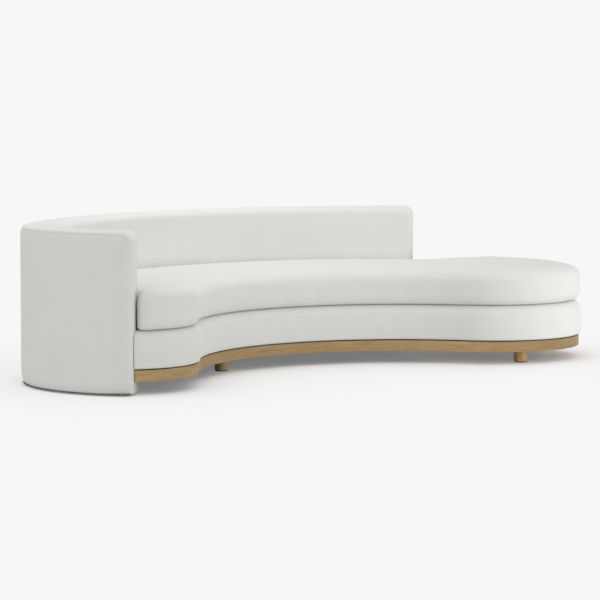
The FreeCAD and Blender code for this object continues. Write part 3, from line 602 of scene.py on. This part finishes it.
grain = np.stack(np.broadcast_arrays(length[:, None], girth[None, :], 0.0), -1)
oak_band = ring_piece("oak_band", band_rings, grain=grain.reshape(-1, 3))
dress(oak_band, OAK_BENT, "sofa", "oak", "plinth_band")
print("oak band length", round(float(length[-1]), 3))

# %% [markdown]
# ## The seat cushion
#
# One loose kidney cushion fills the whole seat. Its outline is a ring of arcs, with an ear that fills
# the corner beside the arm. It starts a few millimetres too small, as the foam does before the cover
# is zipped up. Its upper and lower edges are rolls whose size changes from zone to zone: full at the chaise
# end, firmer at the lobe, tall beside the arm. A bevel has one size all round, so rings are used.

# %% Cushion: outline and plain form
COVER_GAP, COVER_EAR, INNER_EDGE = 0.003, 0.040, 0.026
CUSHION_LOW, CUSHION_TALL, CUSHION_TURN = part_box("seat_cushion")[0].z, 0.164, 36.864
CUSHION_HIGH = CUSHION_LOW + CUSHION_TALL
TOP_NOSE = {"front": 0.030, "chaise": 0.030, "lobe": 0.026, "rear": 0.028, "arm": 0.030}
TOP_TALL = {"front": 0.030, "chaise": 0.030, "lobe": 0.026, "rear": 0.028, "arm": 0.060}
BOTTOM_NOSE = {"front": 0.029, "chaise": 0.040, "lobe": 0.027, "rear": 0.040, "arm": 0.014}
SLACK, SOFTEN = 0.003, 4
REACH = np.sqrt((ARM_R - WALL + INNER_EDGE) ** 2 - INNER_EDGE ** 2)
CORNER_C = ARM_C + END_OUT * REACH - END_FACE * INNER_EDGE


def cushion_line(gap, ear):
    """The closed outline, a gap from the wall and with one radius of ear: points, ways in and zones."""
    beside = gap + ear - (LOBE_C - ARM_C) @ END_FACE
    ear_out = (LOBE_C - ARM_C) @ END_OUT + np.sqrt((LOBE_R - ear) ** 2 - beside ** 2)
    ear_c = ARM_C + END_OUT * ear_out + END_FACE * (gap + ear)
    waist_c = CENTRE + (BACK_R - WALL - gap + WAIST_R) * toward(CUSHION_TURN)
    face, ear_on = bearing_of(END_FACE), bearing_of(ear_c - LOBE_C)
    waist_on, chaise_on = bearing_of(CHAISE_C - waist_c), bearing_of(waist_c - CHAISE_C)
    corner_on, arm_on = bearing_of(ARM_C - CORNER_C), bearing_of(CORNER_C - ARM_C)
    down, up = -1, 1
    arcs = [
        (ear_c, ear, face + 180, ear_on, down, "arm"),
        (LOBE_C, LOBE_R, ear_on, LOBE_ANGLE - 180, down, "lobe"),
        (CENTRE, FRONT_R, LOBE_ANGLE, CHAISE_ANGLE, up, "front"),
        (CHAISE_C, CHAISE_R, CHAISE_ANGLE + 180, chaise_on, down, "chaise"),
        (waist_c, WAIST_R, waist_on, CUSHION_TURN + 180, up, "rear"),
        (CENTRE, BACK_R - WALL - gap, CUSHION_TURN, ARM_ANGLE, down, "rear"),
        (ARM_C, ARM_R - WALL - gap, ARM_ANGLE, arm_on, down, "rear"),
        (CORNER_C, INNER_EDGE + gap, corner_on, face, up, "arm"),
    ]
    points, inward, zones = [], [], []
    for centre, radius, start, stop, way, zone in arcs:
        sweep = way * ((way * (stop - start)) % 360)
        count = int(np.ceil(np.radians(abs(sweep)) * radius / STEP)) + 2
        spokes = toward(start + sweep * np.linspace(0, 1, count)[:-1])
        points.append(centre + radius * spokes)
        inward.append(way * spokes)
        zones += [zone] * len(spokes)
    count = int(np.ceil((ear_out - REACH) / STEP))
    straight = np.linspace(REACH, ear_out, count, endpoint=False)[:, None]
    points.append(ARM_C + END_FACE * gap + END_OUT * straight)
    inward.append(END_FACE + 0 * straight)
    return np.concatenate(points), np.concatenate(inward), zones + ["arm"] * count


def softened(sizes, zones):
    """A size for each zone of the outline, with an even change from one zone to the next."""
    plain = np.array([sizes[zone] for zone in zones])
    return np.mean([np.roll(plain, shift) for shift in range(-SOFTEN, SOFTEN + 1)], 0)


line, inward, zones = cushion_line(COVER_GAP, COVER_EAR)
top_nose, top_tall, bottom_nose = [softened(sizes, zones) for sizes in (TOP_NOSE, TOP_TALL, BOTTOM_NOSE)]
bend = quarter[:, None]
ring_in = np.concatenate([bottom_nose * (1 - np.sin(bend)), top_nose * (1 - np.cos(bend))])
ring_z = np.concatenate([
    CUSHION_LOW + bottom_nose * (1 - np.cos(bend)),
    CUSHION_HIGH - top_tall * (1 - np.sin(bend)),
])
cushion_rings = raised(line[None] + (ring_in + SLACK)[..., None] * inward[None], ring_z)
cushion = ring_piece("kidney_cushion", cushion_rings)

# %% [markdown]
# ### An even mesh and a crown
#
# Cloth moves evenly only on a mesh with faces of one size, so the plain form is remeshed.
# The top of a stuffed cushion rises from its edge to its middle, and the free front edge, where people
# sit down, is pressed a little lower. Both are smooth functions of the distance to the outline.
# A sculpted crown could do the same, but a function gives it again in every run.

# %% Cushion: even mesh and crown
VOXEL, CROWN, CROWN_RUN, WIDE_CROWN = 0.011, 0.019, 0.09, 0.014
RISE_FROM, RISE_OVER, WIDE_FROM, WIDE_OVER, EDGE_STAYS = 0.08, 0.06, 0.24, 0.19, 0.01
SINK, SINK_RUN, PARTS = 0.020, 0.11, 40
remesh = cushion.modifiers.new("even_mesh", "REMESH")
remesh.mode, remesh.voxel_size = "VOXEL", VOXEL


def settle(made):
    """Applies the modifiers of a piece by copying its evaluated mesh."""
    graph = bpy.context.evaluated_depsgraph_get()
    mesh = bpy.data.meshes.new_from_object(made.evaluated_get(graph))
    made.modifiers.clear()
    made.data = mesh


def read(made):
    """All points of a piece as one array."""
    flat = np.empty(len(made.data.vertices) * 3, np.float32)
    made.data.vertices.foreach_get("co", flat)
    return flat.reshape(-1, 3).astype(float)


def write(made, points):
    """Puts a whole array of points back."""
    made.data.vertices.foreach_set("co", points.astype(np.float32).ravel())
    made.data.update()


def nearest(plan, outline):
    """The distance of each plan point to the nearest outline point, in parts to save memory."""
    parts = np.array_split(plan, PARTS)
    return np.concatenate([np.linalg.norm(part[:, None] - outline[None], axis=-1).min(1) for part in parts])


settle(cushion)
co = read(cushion)
from_line = nearest(co[:, :2], line)
from_free = nearest(co[:, :2], line[np.isin(zones, ["front", "chaise"])])
upper = np.clip((co[:, 2] - CUSHION_LOW - RISE_FROM) / RISE_OVER, 0, 1)
crown = CROWN * (1 - np.exp(-np.clip(from_line - EDGE_STAYS, 0, None) / CROWN_RUN))
wide = np.clip((from_line - WIDE_FROM) / WIDE_OVER, 0, 1)
crown = crown + WIDE_CROWN * wide * wide * (3 - 2 * wide) - SINK * np.exp(-from_free / SINK_RUN)
crown = crown * upper
co[:, 2] = np.maximum(co[:, 2] + crown, CUSHION_LOW)
write(cushion, co)
print("cushion points", len(co), "top", round(float(co[:, 2].max()), 4))

# %% [markdown]
# ### The cover blown out
#
# A short cloth simulation with pressure and no weight blows the form out against its cover, which gives
# the slight swell that plain rolls lack. How far a point may go is held, so the cushion keeps clear of
# the wall and its underside stays flat on the deck.

# %% Cushion: the cover blown out
SIDE_ROOM, TOP_ROOM, UNDERSIDE, PRESSURE, FRAMES = 0.0035, 0.006, 0.004, 4.0, 14
FULL_HOLD, LIGHT_HOLD, LEAST = 1.0, 0.2, 1e-9


def blow_out(made, start):
    """A short pressure simulation without weight. The underside is held and the rest lightly so."""
    held = made.vertex_groups.new(name="on_foam")
    flat = start[:, 2] < CUSHION_LOW + UNDERSIDE
    held.add(np.flatnonzero(flat).tolist(), FULL_HOLD, "REPLACE")
    held.add(np.flatnonzero(~flat).tolist(), LIGHT_HOLD, "REPLACE")
    cover = made.modifiers.new("cover", "CLOTH")
    cover.settings.use_pressure = True
    cover.settings.uniform_pressure_force = PRESSURE
    cover.settings.vertex_group_mass = "on_foam"
    cover.settings.pin_stiffness = 1.0
    cover.settings.effector_weights.gravity = 0.0
    cover.point_cache.frame_start, cover.point_cache.frame_end = 1, FRAMES
    for step in range(1, FRAMES + 1):
        bpy.context.scene.frame_set(step)
    settle(made)
    bpy.context.scene.frame_set(1)
    made.vertex_groups.clear()
    return read(made)


blown = blow_out(cushion, co)
move = blown - co
sideways = np.linalg.norm(move[:, :2], axis=1)
move[:, :2] *= (SIDE_ROOM * np.tanh(sideways / SIDE_ROOM) / np.maximum(sideways, LEAST))[:, None]
move[:, 2] = TOP_ROOM * np.tanh(move[:, 2] / TOP_ROOM)
after = co + move
after[:, 2] = np.maximum(after[:, 2], CUSHION_LOW)
write(cushion, after)
print("cover moved up to", np.abs(blown - co).max(0).round(4), "kept", np.abs(move).max(0).round(4))
cushion.data.polygons.foreach_set("use_smooth", np.ones(len(cushion.data.polygons), bool))
dress(cushion, FINISH["upholstery_fabric"], "cushion", "upholstery_fabric", "seat_cushion")

# %% [markdown]
# ## The foam core
#
# Inside the cover is a slab of foam, cut from a block along its own, simpler outline: its ear
# is rounder than that of the cover. It is cut and not sewn, so plain rings with eased edges are enough.

# %% Foam core
FOAM_GAP, FOAM_EAR, CORE_IN, CORE_EDGE, CORE_ROWS = 0.004, 0.063, 0.048, 0.010, 5
core_low, core_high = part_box("cushion_core")[0].z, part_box("cushion_core")[1].z
core_section = np.concatenate([
    round_corner((CORE_EDGE, core_low + CORE_EDGE), CORE_EDGE, 270, 180, CORE_ROWS),
    round_corner((CORE_EDGE, core_high - CORE_EDGE), CORE_EDGE, 180, 90, CORE_ROWS),
])
foam_line, foam_inward, _ = cushion_line(FOAM_GAP, FOAM_EAR)
core_in = (core_section[:, 0] + CORE_IN)[:, None, None]
core_rings = raised(foam_line[None] + core_in * foam_inward[None], core_section[:, 1][:, None])
foam_core = ring_piece("foam_core", core_rings)
dress(foam_core, FINISH["foam"], "cushion", "foam", "cushion_core")

# %% [markdown]
# ## The deck pad
#
# Under the cushion the base has a deck: a thin pad in plain cotton over the webbing, which shows when
# the cushion is lifted. It fills the seat from the border's flange to the wall, so its outline is
# the front line, set in, and then the line of the wall. It lies flat and tight, without a simulation.

# %% Deck pad
DECK_EDGE, DECK_FIT, DECK_ROLL = 0.0604, 0.0004, 0.006
LOWER_ROWS, UPPER_ROWS, BACK_PLACES, ARM_PLACES, CORNER_PLACES = 4, 6, 120, 50, 12


def rear_line(inset):
    """Plan points along the wall, from the waist to the end of the arm, one column for each inset."""
    inset = np.asarray(inset, float)
    corner_on, face = bearing_of(ARM_C - CORNER_C), bearing_of(END_FACE)
    corner_off = corner_on + (face - corner_on) % 360
    arm_on = ARM_ANGLE - (ARM_ANGLE - bearing_of(CORNER_C - ARM_C)) % 360
    back_on = WAIST_TURN - np.degrees(DECK_FIT / (BACK_R - WALL))
    arcs = [
        (CENTRE, BACK_R - WALL - SEAT_GAP - inset, back_on, ARM_ANGLE, BACK_PLACES),
        (ARM_C, ARM_R - WALL - SEAT_GAP - inset, ARM_ANGLE, arm_on, ARM_PLACES),
        (CORNER_C, INNER_EDGE + SEAT_GAP + inset, corner_on, corner_off, CORNER_PLACES),
    ]
    rows = []
    for centre, radius, start, stop, count in arcs:
        bearing = np.linspace(start, stop, count)[:, None] * np.ones_like(inset)
        rows.append(centre + radius[None, :, None] * toward(bearing))
    return np.concatenate([rows[0][:-1], rows[1][:-1], rows[2]])


deck_low, deck_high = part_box("seat_deck")[0].z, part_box("seat_deck")[1].z
deck_section = np.concatenate([
    round_corner((DECK_ROLL, deck_low + DECK_ROLL), DECK_ROLL, 270, 180, LOWER_ROWS),
    round_corner((DECK_ROLL, deck_high - DECK_ROLL), DECK_ROLL, 180, 90, UPPER_ROWS),
])
deck_front = front_line(deck_section[:, 0] + DECK_EDGE)
deck_plan = np.concatenate([deck_front, rear_line(deck_section[:, 0] + DECK_FIT)])
deck_pad = ring_piece("deck_pad", raised(deck_plan, deck_section[:, 1]).transpose(1, 0, 2))
dress(deck_pad, FINISH["deck_cloth"], "sofa", "deck_cloth", "seat_deck")

# %% [markdown]
# ## The linings
#
# Thin black lining closes the base and the wall from below. It is stapled on tight, so a flat sheet
# with a real thickness is right, and a draped one would hang where it can't.
# The lining of the base is one cut, and that of the wall is three cuts that follow its curve.

# %% Linings
BASE_LINING_IN, LINING_IN, LINING_PLACES = 0.051, 0.008, 60


def lining(name, outline, node):
    """A thin sheet of one outline, from the bottom to the top of its solid, with its finish."""
    low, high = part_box(node)[0].z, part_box(node)[1].z
    made = ring_piece(name, np.stack([raised(outline, low), raised(outline, high)]))
    dress(made, FINISH["black_lining"], "sofa", "black_lining", node)
    return made


base_cut = foam_line + BASE_LINING_IN * foam_inward
lining("base_lining_cloth", base_cut, "base_lining")
# The wall's lining reaches nearer the outer face than the turned-in hem, so its rim shows black along the
# floor as painted shade. At the arm's end it is cut back round the rolled end.
cuts = [LINING_IN, BACK_RUN / 2, BACK_RUN, WALL_RUN - LINING_IN]
for number, (start, stop) in enumerate(zip(cuts, cuts[1:]), 1):
    along = np.linspace(start, stop, LINING_PLACES)
    round_end = END_SEAM * rolled((WALL_RUN - along) / END_SEAM)
    outer_cut = wall_plan(along, LINING_IN + round_end)
    outline = np.concatenate([outer_cut, wall_plan(along[::-1], WALL - LINING_IN)])
    lining(f"wall_lining_cloth_{number}", outline, "shell_lining")

# %% [markdown]
# ## The room
#
# A pale floor and an even pale sky give a soft light from all round. The sky that the camera sees is
# the same pale grey as the floor, so the ground has no horizon and only a soft shadow shows
# where the sofa stands. A curved paper backdrop could do the same, but it would close off the other views.
# For the light that it throws back, the floor has a tone of its own. Where the camera sees it, the floor
# also glows faintly by itself: painted light that keeps the shadow under the sofa pale.

# %% Floor and sky
PALE = linear("F7F7F7")
# The floor's glow is painted light: the floor shines faintly by itself where the camera sees it, which keeps
# the shadow under the sofa pale.
AMBIENT, FLOOR_PAINTED_GLOW, FLOOR_BOUNCE, FLOOR_REACH = 0.80, 0.18, 0.85, 60.0


def background_rays(tree):
    """1 for a ray that shows the background, from the camera, off a gloss or through glass, and else 0."""
    ray = add(tree, "ShaderNodeLightPath").outputs
    kinds = {0: ray["Is Camera Ray"], 1: ray["Is Glossy Ray"]}
    seen = add(tree, "ShaderNodeMath", kinds, operation="MAXIMUM").outputs[0]
    kinds = {0: seen, 1: ray["Is Transmission Ray"]}
    return add(tree, "ShaderNodeMath", kinds, operation="MAXIMUM").outputs[0]


floor_mesh = bpy.data.meshes.new("floor")
floor_corners = FLOOR_REACH * np.array([[-1, -1, 0], [1, -1, 0], [1, 1, 0], [-1, 1, 0]])
floor_mesh.from_pydata(floor_corners.tolist(), [], [(0, 1, 2, 3)])
floor = bpy.data.objects.new("floor", floor_mesh)
bpy.context.scene.collection.objects.link(floor)
floor_finish, floor_tree, floor_shader = finish_tree("pale_studio_floor")
floor_tone = (PALE[0] - FLOOR_PAINTED_GLOW) / AMBIENT
seen = background_rays(floor_tree)
tones = {0: seen, 6: (*[FLOOR_BOUNCE] * 3, 1), 7: (*[floor_tone] * 3, 1)}
tone = add(floor_tree, "ShaderNodeMix", tones, data_type="RGBA")
floor_tree.links.new(tone.outputs[2], floor_shader.inputs["Base Color"])
floor_shader.inputs["Roughness"].default_value = 1.0
floor_shader.inputs["Specular IOR Level"].default_value = 0.0
floor_shader.inputs["Emission Color"].default_value = (1, 1, 1, 1)
# Painted light: the glow is added only for camera and mirror rays, and it lightens the shadow under the
# sofa.
glow = add(floor_tree, "ShaderNodeMath", {0: seen, 1: FLOOR_PAINTED_GLOW}, operation="MULTIPLY")
floor_tree.links.new(glow.outputs[0], floor_shader.inputs["Emission Strength"])
floor.data.materials.append(floor_finish)
floor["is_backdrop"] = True

world = bpy.data.worlds.new("pale_room")
world.use_nodes = True
bpy.context.scene.world = world
sky = world.node_tree
sky.nodes.clear()
tones = {0: background_rays(sky), 6: (*[AMBIENT] * 3, 1), 7: PALE}
tone = add(sky, "ShaderNodeMix", tones, data_type="RGBA")
glow = add(sky, "ShaderNodeBackground", {"Color": tone.outputs[2], "Strength": 1.0})
add(sky, "ShaderNodeOutputWorld", {"Surface": glow.outputs[0]})
bpy.context.scene.view_settings.view_transform = "Standard"
print("floor tone", round(floor_tone, 3))

# %% [markdown]
# ## The lamps
#
# Three soft lamps and a row of small cards shape the sofa. A soft box hangs over the middle of the back,
# so the seat and the top edge are the brightest. A weak light comes from the left of the camera.
# A small soft box stands low on the right, beyond the chaise end, so that end is bright and its light
# has faded at the arm. A pale seat throws light up onto the lower back. Here that bounce alone is
# a little too weak, so upright cards just above the seat add to it, for the wall alone.
# The light could come from the sky only, but then every side would look equally flat.
# All lamps are linked to the sofa, which keeps the floor one even tone, and the box on the right
# leaves out the oak band, which stays in the shade of the border.

# %% Lamps
TOP_BEARING, TOP_HEIGHT, TOP_SIZE, TOP_POWER = -6.0, 2.6, 1.6, 15.3
FRONT_LIGHT, FRONT_DOWN, FRONT_ASIDE, FRONT_SPREAD = 0.075, 12.0, -30.0, 30.0
SIDE_AWAY, SIDE_NEARER, SIDE_HEIGHT, SIDE_SIZE, SIDE_POWER = 2.0, 1.3, 0.28, 0.6, 25.0
CARD_BEARINGS = np.linspace(-44, 32, 7)
CARD_LONG, CARD_TALL, CARD_UP, CARD_OFF, CARD_POWER = 0.32, 0.03, 0.025, 0.075, 0.019


def lamp(name, kind, power, location, turn, pieces):
    """A lamp with its power, place and turn, that lights only the given pieces."""
    made = bpy.data.objects.new(name, bpy.data.lights.new(name, kind))
    made.data.energy = power
    made.location, made.rotation_euler = location, turn
    lit = bpy.data.collections.new(name + "_lights")
    for one in pieces:
        lit.objects.link(one)
    made.light_linking.receiver_collection = lit
    bpy.context.scene.collection.objects.link(made)
    return made


look = toward(LOOK_BEARING)
right = np.array([look[1], -look[0]])
everything = list(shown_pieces())
over_back = (*(CENTRE + (BACK_R - WALL) * toward(TOP_BEARING)), TOP_HEIGHT)
top_box = lamp("top_box", "AREA", TOP_POWER, over_back, (0.0, 0.0, 0.0), everything)
top_box.data.size = TOP_SIZE
front_turn = np.radians([90 - FRONT_DOWN, 0.0, FRONT_ASIDE - LOOK_BEARING])
front_light = lamp("front_light", "SUN", FRONT_LIGHT * np.pi, camera.location, front_turn, everything)
front_light.data.angle = np.radians(FRONT_SPREAD)
side_way = (CHAISE_R + SIDE_AWAY) * right - SIDE_NEARER * look
side_turn = (np.pi / 2, 0.0, np.arctan2(side_way[0], -side_way[1]))
off_chaise = (*(CHAISE_C + side_way), SIDE_HEIGHT)
no_band = [one for one in everything if one != oak_band]
side_box = lamp("side_box", "AREA", SIDE_POWER, off_chaise, side_turn, no_band)
side_box.data.size = SIDE_SIZE
for number, bearing in enumerate(CARD_BEARINGS):
    on_seat = (*(CENTRE + (BACK_R - WALL - CARD_OFF) * toward(bearing)), CUSHION_HIGH + CARD_UP)
    card_turn = np.radians([90.0, 0.0, -bearing])
    card = lamp(f"seat_card_{number}", "AREA", CARD_POWER, on_seat, card_turn, [wall_skin])
    card.data.shape, card.data.size, card.data.size_y = "RECTANGLE", CARD_LONG, CARD_TALL
    card.visible_camera = False
print("lamps light", len(everything), "pieces")
